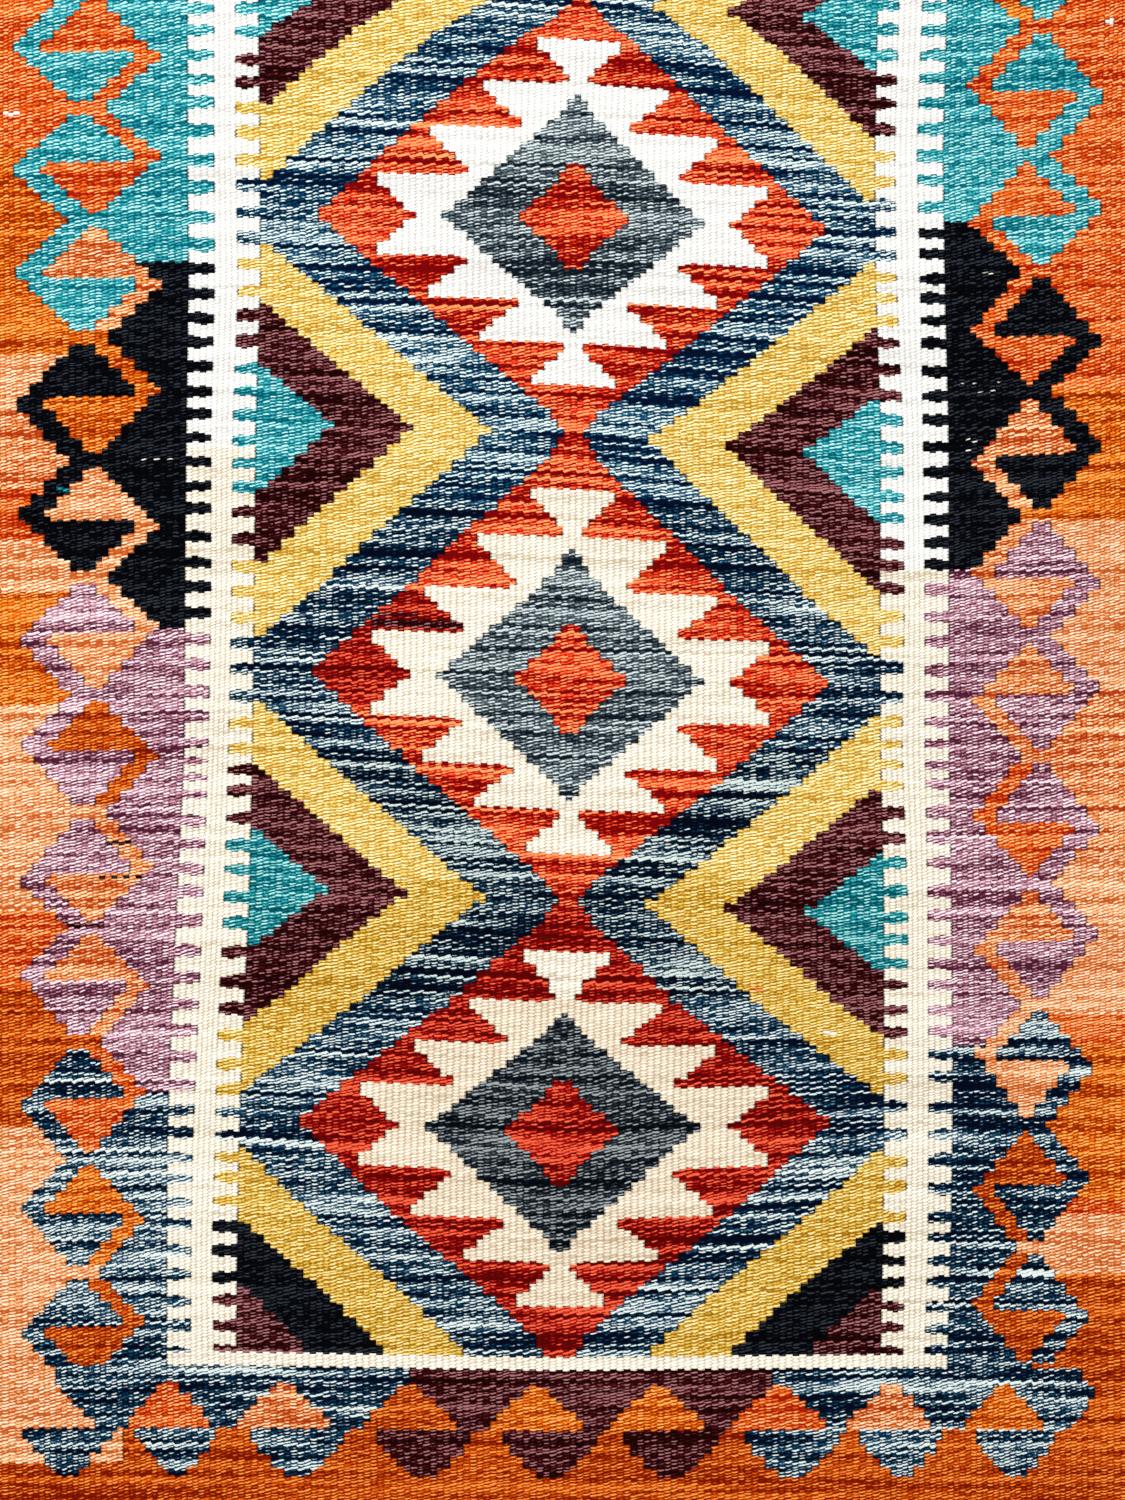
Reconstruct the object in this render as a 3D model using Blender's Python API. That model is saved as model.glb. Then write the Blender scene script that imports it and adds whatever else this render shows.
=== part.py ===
"""A small kilim rug, lying flat: one piece of weft-faced wool cloth with its warp ribs.

The rug's length runs along Y and its width along X. The underside is flat and lies on
z = 0, and the origin is the middle of its outline. Sizes are in metres.
"""

import random

import bmesh
import bpy
from mathutils import Color, Vector

# Driving dimensions
RUG_WIDTH = 0.598
RUG_LENGTH = 0.910
THICKNESS = 0.0030

# The warps run the length of the rug, and the tightly packed wool covers each one as a rib.
WARP_COUNT = 182
RIB_DEPTH = 0.0006

# The outermost warps carry a double wrapping of wool, which makes the selvedge.
SELVEDGE_WARPS = 2
SELVEDGE_EXTRA = 0.0003

# Each rib stands a little higher or lower than the next, by up to this much.
RIB_UNEVENNESS = 0.00012
RIB_SEED = 11

# The edge of the cloth is round: its outermost line lies at half the thickness, and the
# top and the underside start this far inside it.
EDGE_ROUND = 0.0012

# The two long edges: how far each lies inside the full width. The cloth narrows a little
# towards the near end, where the weft was pulled tighter, and its corners are a little rounded.
# columns: share of the length, left inset, right inset
SIDES = (
    (0.000, 0.0042, 0.0067),
    (0.004, 0.0014, 0.0038),
    (0.012, 0.0002, 0.0026),
    (0.200, 0.0004, 0.0026),
    (0.400, 0.0011, 0.0019),
    (0.600, 0.0007, 0.0013),
    (0.800, 0.0003, 0.0006),
    (0.988, 0.0000, 0.0000),
    (0.996, 0.0013, 0.0014),
    (1.000, 0.0041, 0.0042),
)

# The two short ends: how far each lies inside the full length, as wavy as a hand-beaten weft.
# columns: share of the width, near inset, far inset
ENDS = (
    (0.00, 0.0022, 0.0030),
    (0.15, 0.0008, 0.0016),
    (0.35, 0.0012, 0.0000),
    (0.55, 0.0000, 0.0009),
    (0.80, 0.0011, 0.0004),
    (1.00, 0.0028, 0.0026),
)

WOOL_COLOUR = (0.80, 0.27, 0.09)
WOOL_ROUGHNESS = 0.95

# The three outlines that the body is built on, from the top down.
TOP, RIM, UNDERSIDE = 2, 1, 0


def clear_scene():
    for old in list(bpy.data.objects):
        bpy.data.objects.remove(old, do_unlink=True)


def wool_material():
    wool = bpy.data.materials.new("kilim_wool")
    wool.use_nodes = True
    shader = wool.node_tree.nodes["Principled BSDF"]
    linear = Color(WOOL_COLOUR).from_srgb_to_scene_linear()
    shader.inputs["Base Color"].default_value = (*linear, 1.0)
    shader.inputs["Roughness"].default_value = WOOL_ROUGHNESS
    shader.inputs["Metallic"].default_value = 0.0
    return wool


def between_rows(table, share, column):
    """A column's value at a share of the length or width, straight between two rows."""
    for low, high in zip(table, table[1:]):
        if share <= high[0]:
            part = (share - low[0]) / (high[0] - low[0])
            return low[column] + part * (high[column] - low[column])
    return table[-1][column]


def rib_heights():
    """The height of the top at each rib's crest and at each valley, from left to right."""
    draw = random.Random(RIB_SEED)
    crests = []
    for warp in range(WARP_COUNT):
        from_edge = min(warp, WARP_COUNT - 1 - warp)
        wrapping = SELVEDGE_EXTRA if from_edge < SELVEDGE_WARPS else 0.0
        unevenness = draw.uniform(-1, 1) * RIB_UNEVENNESS
        crests.append(THICKNESS - RIB_UNEVENNESS - SELVEDGE_EXTRA + wrapping + unevenness)
    heights = [crests[0] - RIB_DEPTH]
    for warp, crest in enumerate(crests):
        after = crests[min(warp + 1, WARP_COUNT - 1)]
        heights += [crest, min(crest, after) - RIB_DEPTH]
    return heights


def place(across, share, inset):
    """The plan position at a share of the width and of the length, drawn in by inset."""
    left = -RUG_WIDTH / 2 + between_rows(SIDES, share, 1) + inset
    right = RUG_WIDTH / 2 - between_rows(SIDES, share, 2) - inset
    near = -RUG_LENGTH / 2 + between_rows(ENDS, across, 1) + inset
    far = RUG_LENGTH / 2 - between_rows(ENDS, across, 2) - inset
    return left + across * (right - left), near + share * (far - near)


def flat_layout():
    """The body's faces on a plain lattice: x counts half warps, y rows of SIDES, z outlines."""
    columns = 2 * WARP_COUNT
    rows = len(SIDES) - 1
    bm = bmesh.new()
    bmesh.ops.create_grid(bm, x_segments=columns, y_segments=rows, size=0.5)
    for vert in bm.verts:
        vert.co = (round((vert.co.x + 0.5) * columns), round((vert.co.y + 0.5) * rows), TOP)
    outline = [edge for edge in bm.edges if edge.is_boundary]
    for level in (RIM, UNDERSIDE):
        made = bmesh.ops.extrude_edge_only(bm, edges=outline)["geom"]
        for vert in made:
            if isinstance(vert, bmesh.types.BMVert):
                vert.co.z = level
        outline = [edge for edge in made if isinstance(edge, bmesh.types.BMEdge) and edge.is_boundary]
    bmesh.ops.edgeloop_fill(bm, edges=outline)
    bmesh.ops.recalc_face_normals(bm, faces=bm.faces)
    return bm


def rug_mesh():
    """One closed body: a ribbed top, a round edge and a flat underside."""
    top_heights = rib_heights()
    insets = {TOP: EDGE_ROUND, RIM: 0.0, UNDERSIDE: EDGE_ROUND}
    bm = flat_layout()
    for vert in bm.verts:
        half_warp, row, level = (round(number) for number in vert.co)
        x, y = place(half_warp / (2 * WARP_COUNT), SIDES[row][0], insets[level])
        height = {TOP: top_heights[half_warp], RIM: THICKNESS / 2, UNDERSIDE: 0.0}[level]
        vert.co = Vector((x, y, height))
    mesh = bpy.data.meshes.new("kilim_rug")
    bm.to_mesh(mesh)
    bm.free()
    return mesh


def build():
    clear_scene()
    rug = bpy.data.objects.new("kilim_rug", rug_mesh())
    rug.data.materials.append(wool_material())
    bpy.context.scene.collection.objects.link(rug)


build()
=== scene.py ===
# %% [markdown]
# # A kilim rug
#
# A kilim is a flat rug with no pile: coloured wool is woven over and under strong warp
# threads, and beaten down so tightly that the warps show only as ribs. This lesson weaves
# one from its chart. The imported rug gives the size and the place, and one detailed piece
# of cloth takes its place in the picture.

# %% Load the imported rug
import math

import bpy
import numpy as np
from mathutils import Color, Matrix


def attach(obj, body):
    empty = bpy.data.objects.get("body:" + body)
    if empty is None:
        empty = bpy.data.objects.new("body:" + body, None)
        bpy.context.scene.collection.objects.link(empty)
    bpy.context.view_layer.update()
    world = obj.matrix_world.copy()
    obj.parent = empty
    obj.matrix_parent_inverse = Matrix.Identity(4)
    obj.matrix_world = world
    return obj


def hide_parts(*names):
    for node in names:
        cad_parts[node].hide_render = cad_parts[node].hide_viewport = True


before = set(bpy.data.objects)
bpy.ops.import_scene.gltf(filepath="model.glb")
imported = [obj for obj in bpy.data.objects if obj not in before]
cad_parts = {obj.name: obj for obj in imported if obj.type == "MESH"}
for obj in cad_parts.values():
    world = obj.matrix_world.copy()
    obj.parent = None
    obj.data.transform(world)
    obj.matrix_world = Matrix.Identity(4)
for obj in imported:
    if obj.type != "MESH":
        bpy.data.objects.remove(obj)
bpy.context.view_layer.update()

# %% [markdown]
# ## Warps and picks
#
# The warps run the length of the rug. A pick is one pass of the weft across them. A
# weaver's chart counts in warps and picks, so the whole pattern is worked out in those
# first, and only the last step turns a count into a place on the floor. Lengths are in
# millimetres, and heights are measured from the near end of the rug.

# %% Counts
WIDTH, LENGTH = 598.0, 910.0
WARPS, PICKS = 182, 1070
PICK = LENGTH / PICKS
PICKS_A_BEAD = 2
# the middle warp of the pattern, and where the two guard stripes begin and end
AXIS = 91.5
OUT_LEFT, IN_LEFT, IN_RIGHT, OUT_RIGHT = 31, 43, 139, 151
print(f"{WARPS} warps of about {WIDTH / WARPS:.2f} mm, {PICKS} picks of {PICK:.2f} mm")

# %% [markdown]
# ## Where each warp lies
#
# A hand-woven rug is never square. The weft pulls the warps a little together in one
# place and lets them spread in another, so each table row says where some marked warps lie
# at one height, and the warps between them are spaced evenly. The picks lean too: the
# weaver beats one side of the cloth harder than the other, and a straight line in the chart
# climbs or falls by up to a centimetre and a half.

# %% Marked warps
MARKED_WARPS = (5, 31, 35, 39, 43, 91.5, 139, 143, 147, 151, 155, 176)
# columns: height, then the place across of each marked warp
WARP_LINES = (
    (0, -279.8, -203.0, -190.5, -178.5, -167.0, 0.0, 166.0, 178.0, 189.5, 202.0, 213.9, 274.6),
    (96, -279.8, -204.6, -192.2, -180.0, -168.5, -0.3, 166.7, 178.4, 189.6, 201.6, 213.9, 274.6),
    (153, -279.9, -204.6, -192.0, -181.2, -168.0, -0.2, 168.0, 179.5, 191.5, 203.2, 214.4, 274.8),
    (205, -280.0, -204.4, -191.2, -179.4, -167.0, 0.0, 168.5, 180.6, 191.8, 204.2, 214.8, 275.2),
    (257, -280.6, -202.9, -189.0, -178.4, -165.5, 1.8, 168.5, 180.7, 191.9, 204.4, 215.6, 277.0),
    (335, -280.8, -199.4, -185.8, -174.8, -161.7, 4.3, 168.5, 181.0, 191.4, 203.7, 215.2, 280.4),
    (413, -280.0, -195.5, -183.0, -172.5, -160.0, 4.8, 166.9, 177.9, 190.0, 202.5, 214.6, 280.3),
    (491, -281.0, -195.2, -181.5, -170.8, -159.1, 6.0, 166.4, 179.2, 189.9, 202.4, 213.6, 280.8),
    (580, -282.6, -194.4, -181.5, -170.2, -158.3, 7.2, 166.9, 178.4, 188.9, 202.2, 214.0, 281.5),
    (658, -283.4, -193.2, -179.6, -167.4, -155.8, 6.8, 164.3, 175.0, 187.4, 200.2, 213.1, 281.5),
    (725, -284.7, -193.8, -179.9, -168.7, -156.0, 8.3, 163.8, 174.2, 185.8, 199.4, 210.6, 281.5),
    (803, -284.5, -193.8, -180.0, -168.9, -157.0, 11.4, 165.4, 176.5, 188.7, 201.5, 212.2, 283.9),
    (910, -284.5, -194.0, -180.0, -169.0, -157.0, 10.0, 165.0, 177.0, 188.7, 201.0, 212.2, 283.9),
)
print(len(MARKED_WARPS), "warps marked at", len(WARP_LINES), "heights")

# %% The two long edges and the two ends
# columns: height, how far the left and the right edge lie inside the full width
SIDES = (
    (0, 4.2, 6.7),
    (3.6, 1.4, 3.8),
    (10.9, 0.2, 2.6),
    (182, 0.4, 2.6),
    (364, 1.1, 1.9),
    (546, 0.7, 1.3),
    (728, 0.3, 0.6),
    (899.1, 0.0, 0.0),
    (906.4, 1.3, 1.4),
    (910, 4.1, 4.2),
)
# columns: share of the width, how far the near and the far end lie inside the full length
ENDS = (
    (0.00, 2.2, 3.0),
    (0.15, 0.8, 1.6),
    (0.35, 1.2, 0.0),
    (0.55, 0.0, 0.9),
    (0.80, 1.1, 0.4),
    (1.00, 2.8, 2.6),
)
# columns: height on the middle warp, how far a pick has climbed at the left and at the right guard
LEAN = (
    (0, 0.0, 0.0),
    (97, 3.1, 1.6),
    (214, 8.3, 7.3),
    (334, 9.1, -8.3),
    (449, 6.2, -2.1),
    (578, 6.2, -14.6),
    (690, 2.1, -8.3),
    (802, 11.4, -12.5),
    (910, 0.0, 0.0),
)
# the warps of those two guards, and the share of the climb that is left at the long edges
LEFT_GUARD, RIGHT_GUARD = 39, 143
EDGE_CLIMB = 0.75
print("steepest climb of a pick:", max(abs(climb) for row in LEAN for climb in row[1:]), "mm")


# %% Read the tables
def column_at(table, place, column):
    """A table's column, read straight between its rows."""
    rows = np.array(table, float)
    return np.interp(place, rows[:, 0], rows[:, column])


def lean(warp, flat):
    """How far a pick has climbed where it crosses this warp."""
    left = column_at(LEAN, flat, 1) * np.interp(warp, (0, LEFT_GUARD, AXIS), (EDGE_CLIMB, 1.0, 0.0))
    right = column_at(LEAN, flat, 2) * np.interp(warp, (AXIS, RIGHT_GUARD, WARPS), (0.0, 1.0, EDGE_CLIMB))
    return left + right


def across(warp, height):
    """How far to the right of the rug's middle this warp lies."""
    left = -WIDTH / 2 + column_at(SIDES, height, 1)
    right = WIDTH / 2 - column_at(SIDES, height, 2)
    marks = [column_at(WARP_LINES, height, 1 + mark) for mark in range(len(MARKED_WARPS))]
    stops = (0, *MARKED_WARPS, WARPS)
    places = [left, *marks, right]
    found = np.zeros(np.broadcast(warp, height).shape)
    for low, high, start, end in zip(stops, stops[1:], places, places[1:]):
        here = (warp >= low) & (warp <= high)
        found = np.where(here, start + (warp - low) / (high - low) * (end - start), found)
    return found


print("warp 31 lies at", across(np.array(31.0), np.array(455.0)).round(1), "mm half way up")

# %% [markdown]
# ## The yarns
#
# The weaver has a shelf of dyed yarns. Hand-dyed wool is never one even colour: each
# has a main tone, a deeper one where the dye took well and a paler one where it ran
# thin. The deep tone also serves as painted shade in the gaps between the beads, and the
# pale one as the painted highlight on each bead. The streaks that follow from pick to pick
# are called abrash. One number says how strongly a yarn is streaked: white hardly at all,
# the reds and the blues a lot. The last says how clearly its beads show, in their bump and
# their painted highlights and shade: pale wool hides them, and there painted shade in the
# valleys shows its ribs instead.

# %% The yarn shelf
# columns: name, deep (also the painted shade between beads), main, pale (also the painted
# highlight on a bead), each as it looks on a screen, strength of its streaks, how clearly its
# beads show in the bump and in painted light and shade
YARNS = (
    ("white", (0.80, 0.79, 0.76), (0.98, 0.98, 0.96), (1.00, 1.00, 1.00), 0.30, 0.50),
    ("ivory", (0.78, 0.71, 0.60), (0.98, 0.96, 0.90), (1.00, 1.00, 0.96), 0.30, 0.50),
    ("cream", (0.74, 0.64, 0.52), (0.95, 0.90, 0.81), (1.00, 0.98, 0.92), 0.30, 0.50),
    ("red", (0.46, 0.00, 0.01), (0.95, 0.22, 0.09), (1.00, 0.64, 0.40), 1.70, 1.00),
    ("crimson", (0.34, 0.00, 0.00), (0.66, 0.02, 0.03), (0.97, 0.40, 0.26), 1.70, 1.00),
    ("slate", (0.04, 0.08, 0.12), (0.34, 0.40, 0.43), (0.84, 0.88, 0.88), 1.20, 1.00),
    ("charcoal", (0.00, 0.02, 0.05), (0.15, 0.18, 0.22), (0.63, 0.66, 0.66), 1.30, 1.00),
    ("blue", (0.00, 0.02, 0.10), (0.02, 0.27, 0.39), (0.90, 0.94, 0.92), 1.80, 1.00),
    ("denim", (0.00, 0.05, 0.16), (0.02, 0.32, 0.46), (0.90, 0.96, 0.93), 1.70, 1.00),
    ("navy", (0.00, 0.01, 0.07), (0.01, 0.20, 0.30), (0.84, 0.89, 0.87), 1.80, 1.00),
    ("gold", (0.72, 0.53, 0.14), (0.98, 0.84, 0.46), (1.00, 0.97, 0.79), 0.30, 1.00),
    ("mustard", (0.62, 0.42, 0.04), (0.93, 0.77, 0.33), (1.00, 0.92, 0.66), 0.30, 1.00),
    ("plum", (0.09, 0.00, 0.00), (0.27, 0.03, 0.06), (0.67, 0.44, 0.45), 1.10, 1.00),
    ("teal", (0.00, 0.35, 0.41), (0.20, 0.69, 0.72), (0.76, 0.95, 0.94), 0.70, 1.00),
    ("sea", (0.00, 0.28, 0.33), (0.12, 0.62, 0.65), (0.70, 0.91, 0.89), 0.80, 1.00),
    ("black", (0.00, 0.00, 0.01), (0.00, 0.01, 0.04), (0.18, 0.20, 0.23), 0.80, 1.00),
    ("lilac", (0.30, 0.10, 0.18), (0.80, 0.57, 0.64), (0.99, 0.92, 0.94), 1.00, 1.00),
    ("flame", (0.63, 0.09, 0.01), (0.94, 0.41, 0.09), (1.00, 0.74, 0.48), 0.80, 1.00),
    ("amber", (0.57, 0.13, 0.00), (0.93, 0.44, 0.02), (1.00, 0.71, 0.36), 0.80, 1.00),
    ("rust", (0.46, 0.06, 0.00), (0.83, 0.31, 0.00), (0.97, 0.60, 0.25), 0.80, 1.00),
    ("peach", (0.76, 0.35, 0.13), (0.99, 0.73, 0.50), (1.00, 0.92, 0.80), 0.75, 1.00),
    ("apricot", (0.68, 0.21, 0.05), (0.98, 0.64, 0.36), (1.00, 0.89, 0.74), 0.85, 1.00),
    ("bare", (0.00, 0.01, 0.03), (0.05, 0.06, 0.08), (0.98, 0.96, 0.90), 0.00, 1.00),
)
NUMBER = {row[0]: number for number, row in enumerate(YARNS)}
print(len(YARNS), "yarns")

# %% [markdown]
# ## The chart
#
# The chart holds a yarn for every crossing of a warp and a pick. It starts as two grids
# of numbers: which warp and which pick each crossing is, and how high it really lies once
# the lean is added. Every rule below is a comparison on those grids.

# %% Grids of crossings
warp, pick = np.meshgrid(np.arange(WARPS), np.arange(PICKS), indexing="ij")
flat = (pick + 0.5) * PICK
height = flat + lean(warp + 0.5, flat)
on_left = warp + 0.5 < AXIS
print("crossings:", warp.size)

# %% [markdown]
# ## The three medallions
#
# A weaver counts a diagonal as steps: so many warps sideways for each row of the chart. Here
# a row is five or six picks and each step is two warps, so every shape in the field is a
# count of rows from the nearest point where two medallions meet. Because the beating was
# uneven, the rows aren't all as tall as each other, and the table gives their heights.

# %% Rows of the field
# columns: row of the chart, its height on the middle warp
ROWS = (
    (119.5, 97.2), (115.5, 123.4), (111.5, 146.4), (107.5, 168.0), (103.5, 192.7), (100, 213.7),
    (96.5, 235.3), (92.5, 258.4), (88.5, 281.8), (84.5, 308.1), (80, 334.4), (75.5, 359.1),
    (71.5, 381.7), (67.5, 404.0), (63.5, 428.0), (60, 449.3), (56.5, 471.6), (52.5, 496.1),
    (48.5, 524.2), (44.5, 548.2), (40, 578.2), (35.5, 602.9), (31.5, 625.0), (27.5, 647.4),
    (23.5, 668.9), (20, 690.0), (16.5, 711.4), (12.5, 735.3), (8.5, 759.7), (4.5, 782.1),
    (0, 802.4), (-4, 824.0),
)
# from one meeting of two medallions to the next, and from a meeting to the middle of a medallion
MEDALLION_ROWS, HALF_ROWS = 40, 20
row_table = np.array(ROWS)
row = np.floor(np.interp(flat, row_table[:, 1], row_table[:, 0]) + 0.5).astype(int)
from_meeting = np.abs((row + HALF_ROWS) % MEDALLION_ROWS - HALF_ROWS)
from_centre = HALF_ROWS - from_meeting
near_medallion = row > 2 * MEDALLION_ROWS
from_axis = np.abs(warp + 0.5 - AXIS)
print("rows from", row.min(), "to", row.max())

# %% Bands of the field
chart = np.full((WARPS, PICKS), NUMBER["teal"])
BAND = 12
red_edge = 2 * from_meeting + np.where(on_left, 0.5, -0.5)
for bands, name in ((3, "plum"), (2, "gold"), (1, "blue")):
    chart[from_axis < red_edge + bands * BAND] = NUMBER[name]
near_corner = row > 2 * MEDALLION_ROWS + HALF_ROWS
for bands, name in ((2, "black"), (3, "plum")):
    chart[near_corner & (from_axis >= red_edge + bands * BAND)] = NUMBER[name]
print("bands of", BAND, "warps")

# %% [markdown]
# ## Inside a medallion
#
# Each medallion is a red diamond that holds a white figure with hooked edges, and a slate
# diamond with a red core inside that. The hooks come from one small rule that repeats
# every four rows: the edge steps out by two warps a row and then jumps back.

# %% Yarns of the medallions
# heights where the white yarn takes over from the ivory: on the left and in the field, and on the right
NEW_WHITE, NEW_WHITE_RIGHT = 571, 507
# a patch of crimson in the left half of the middle medallion: its last warp and its two heights
PATCH_EDGE, PATCH_START, PATCH_END = 80, 436, 497
crimson_patch = (warp < PATCH_EDGE) & (height > PATCH_START) & (height < PATCH_END)
red_yarn = np.where(near_medallion | crimson_patch, NUMBER["crimson"], NUMBER["red"])
grey_yarn = np.where(near_medallion, NUMBER["charcoal"], NUMBER["slate"])
pale_yarn = np.where(flat > NEW_WHITE, NUMBER["white"], NUMBER["ivory"])
print("crossings in the crimson patch:", int(crimson_patch.sum()))

# %% Red diamond, white figure, slate diamond and core
# half widths, in warps: the red diamond's first four rows, and any other tip
RED_TIP = np.array((1.5, 3, 4, 5.5))
TIP_HALF = 1.6
HOOK_ROWS = 4
SLATE_ROWS, CORE_ROWS = 10, 4


def diamond_half(rows):
    """Half the width of a diamond that reaches this many rows from its medallion's middle."""
    return np.where(from_centre > rows, 0, np.maximum(2 * (rows - from_centre) + 1, TIP_HALF))


red_half = np.where(from_meeting < len(RED_TIP), RED_TIP[from_meeting % len(RED_TIP)], 2 * from_meeting - 0.5)
hooks_half = 2 * (HOOK_ROWS * (3 - from_centre // HOOK_ROWS) + from_centre % HOOK_ROWS) + 0.5
hooks_half = np.where(from_centre == 3 * HOOK_ROWS, TIP_HALF, hooks_half)
hooks_half = np.where(from_centre >= 4 * HOOK_ROWS, 0, hooks_half)
in_red = from_axis < red_half
for half, yarn in (
    (red_half, red_yarn),
    (hooks_half, pale_yarn),
    (diamond_half(SLATE_ROWS), grey_yarn),
    (diamond_half(CORE_ROWS), red_yarn),
):
    chart = np.where(in_red & (from_axis < half), yarn, chart)
print("field charted")

# %% [markdown]
# ## New balls of yarn
#
# When a ball ran out, the next one came from another dye bath. The same colour is then a
# little deeper or bluer from that height on, and the table says where.

# %% New balls of yarn in the field
# columns: yarn, height where the new ball begins and where it ends, name of the new ball
NEW_BALLS = (
    ("ivory", 0, 283, "cream"),
    ("blue", 541, 910, "denim"),
    ("blue", 283, 413, "navy"),
    ("gold", 0, 345, "mustard"),
    ("teal", 0, 430, "sea"),
)
for name, start, end, ball in NEW_BALLS:
    chart[(chart == NUMBER[name]) & (height > start) & (height < end)] = NUMBER[ball]
print(len(NEW_BALLS), "new balls")

# %% [markdown]
# ## The borders down the sides
#
# Each long border is a chain of diamonds, each split across its widest row. One half is cool
# with a warm line towards the field, and the other warm with a cool line towards the edge.
# Which half is the cool one changes from one diamond to the next. The weaver changed the
# ground and the warm yarn now and then, when a ball ran out, so tables say where each began.

# %% Yarns of the two side borders
# columns: height where it begins, yarn
LEFT_GROUND = ((0, "blue"), (235, "lilac"), (475.8, "black"), (667.2, "teal"))
RIGHT_GROUND = ((0, "blue"), (259, "lilac"), (507, "black"), (688, "teal"))
LEFT_OUTER = (
    (0, "rust"), (41.6, "peach"), (217.4, "rust"), (288.6, "flame"), (329.2, "peach"), (436.3, "amber"),
    (495, "peach"), (521.6, "flame"), (549, "apricot"), (589.2, "peach"), (618.8, "amber"), (725.4, "flame"),
)
RIGHT_OUTER = (
    (0, "rust"), (140.4, "peach"), (171.6, "flame"), (179.4, "amber"), (260, "flame"), (275.6, "peach"),
    (356, "apricot"), (444.6, "peach"), (533, "amber"), (600.6, "flame"),
)
print("outer ground:", len(LEFT_OUTER), "balls of yarn on the left,", len(RIGHT_OUTER), "on the right")

# %% The two chains of diamonds
# columns: height of the neck below, height of the split, warm yarn, cool yarn
LEFT_CHAIN = (
    (83.2, 112.8, "rust", "blue"),
    (140.9, 171.6, "amber", "blue"),
    (200.2, 231.4, "flame", "blue"),
    (261.0, 293.3, "apricot", "lilac"),
    (320.6, 348.4, "apricot", "lilac"),
    (380.4, 412.9, "rust", "lilac"),
    (441.7, 474.2, "peach", "lilac"),
    (502.6, 532.2, "peach", "black"),
    (563.4, 597.0, "amber", "black"),
    (627.6, 658.3, "apricot", "teal"),
    (688.5, 718.6, "flame", "teal"),
    (747.2, 775.8, "flame", "teal"),
    (807.6, 0, "flame", "teal"),
)
RIGHT_CHAIN = (
    (90.0, 121.7, "rust", "blue"),
    (153.9, 187.2, "rust", "blue"),
    (217.9, 251.7, "peach", "blue"),
    (280.8, 313.6, "apricot", "lilac"),
    (343.7, 375.4, "flame", "lilac"),
    (409.8, 442.3, "apricot", "lilac"),
    (472.2, 502.8, "apricot", "lilac"),
    (535.1, 567.1, "apricot", "black"),
    (599.6, 628.2, "flame", "black"),
    (662.0, 691.1, "flame", "teal"),
    (722.3, 756.1, "flame", "teal"),
    (789.4, 820.6, "amber", "teal"),
    (850.2, 0, "amber", "teal"),
)
# half the height of the neck between two diamonds, and how deep the ground reaches where no diamond is
NECK_HALF = 3.6
GROUND_DEPTH = 15
# how deep in the border the inner and the outer tip of a diamond lie
LEFT_TIPS, RIGHT_TIPS = (4, 26), (4, 25)
# rows in half a diamond, warps in one step, and warps in the warm outline
DIAMOND_ROWS, STEP, OUTLINE = 4, 2, 4
print(len(LEFT_CHAIN) - 1, "diamonds on the left,", len(RIGHT_CHAIN) - 1, "on the right")


# %% Parts of a side border
def yarn_at(table, heights):
    """The yarn in use at each height."""
    found = np.zeros(heights.shape, int)
    for start, name in table:
        found[heights >= start] = NUMBER[name]
    return found


def half_diamond(depth, step, cool_here, tip_in, tip_out, ground, warm, cool, outer):
    """A row of half a diamond, this many steps from its split: ground, warm, cool and outer."""
    inner, beyond = tip_in + STEP * step, tip_out - STEP * step
    if cool_here:
        edges = (inner, inner + OUTLINE, beyond - STEP)
    else:
        edges = (inner + STEP, beyond - OUTLINE, beyond)
    line = np.where(depth < edges[2], cool, outer)
    line = np.where(depth < edges[1], warm, line)
    return np.where(depth < edges[0], ground, line)


def step_of(past, reach):
    """Which row of half a diamond lies this far past its split."""
    return np.clip(np.floor(DIAMOND_ROWS * past / reach), 0, DIAMOND_ROWS - 1)


# %% Weave a side border
def side_border(columns, depth_of, chain, grounds, outers, tip_in, tip_out):
    """Weaves a border from its inner edge out, where depth_of says how deep in it a warp lies."""
    middle = height[columns[len(columns) // 2]]
    for column in columns:
        depth = depth_of(column)
        ground = yarn_at(grounds, height[column])
        outer = yarn_at(outers, height[column])
        line = np.where(depth < GROUND_DEPTH, ground, outer)
        for number, (low, split, warm, cool) in enumerate(chain[:-1]):
            high = chain[number + 1][0]
            cool_above = number % 2 == 0
            above = (middle >= split) & (middle < high - NECK_HALF)
            below = (middle < split) & (middle >= low + NECK_HALF)
            step_up = step_of(middle - split, high - NECK_HALF - split)
            step_down = step_of(split - middle, split - low - NECK_HALF)
            for here, step, cool_here in ((above, step_up, cool_above), (below, step_down, not cool_above)):
                woven = half_diamond(
                    depth, step, cool_here, tip_in, tip_out, ground, NUMBER[warm], NUMBER[cool], outer
                )
                line = np.where(here, woven, line)
            neck = np.abs(middle - high) < NECK_HALF
            neck_reach = STEP * DIAMOND_ROWS
            neck_edge = tip_in + neck_reach if cool_above else tip_out - neck_reach
            line = np.where(neck, np.where(depth < neck_edge, ground, outer), line)
        chart[column] = line


side_border(
    range(OUT_LEFT), lambda column: OUT_LEFT - 0.5 - column,
    LEFT_CHAIN, LEFT_GROUND, LEFT_OUTER, *LEFT_TIPS,
)
side_border(
    range(OUT_RIGHT, WARPS), lambda column: column + 0.5 - OUT_RIGHT,
    RIGHT_CHAIN, RIGHT_GROUND, RIGHT_OUTER, *RIGHT_TIPS,
)
print("borders woven over", OUT_LEFT, "warps on each side")

# %% [markdown]
# ## Guard stripes with teeth
#
# A white stripe with small teeth on both its edges runs down each side of the field. Each
# tooth grows out of the colour beside it. The weaver kept them even by eye, so the tables
# give the height of a few counted teeth, and the rest are spaced between those.

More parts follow.
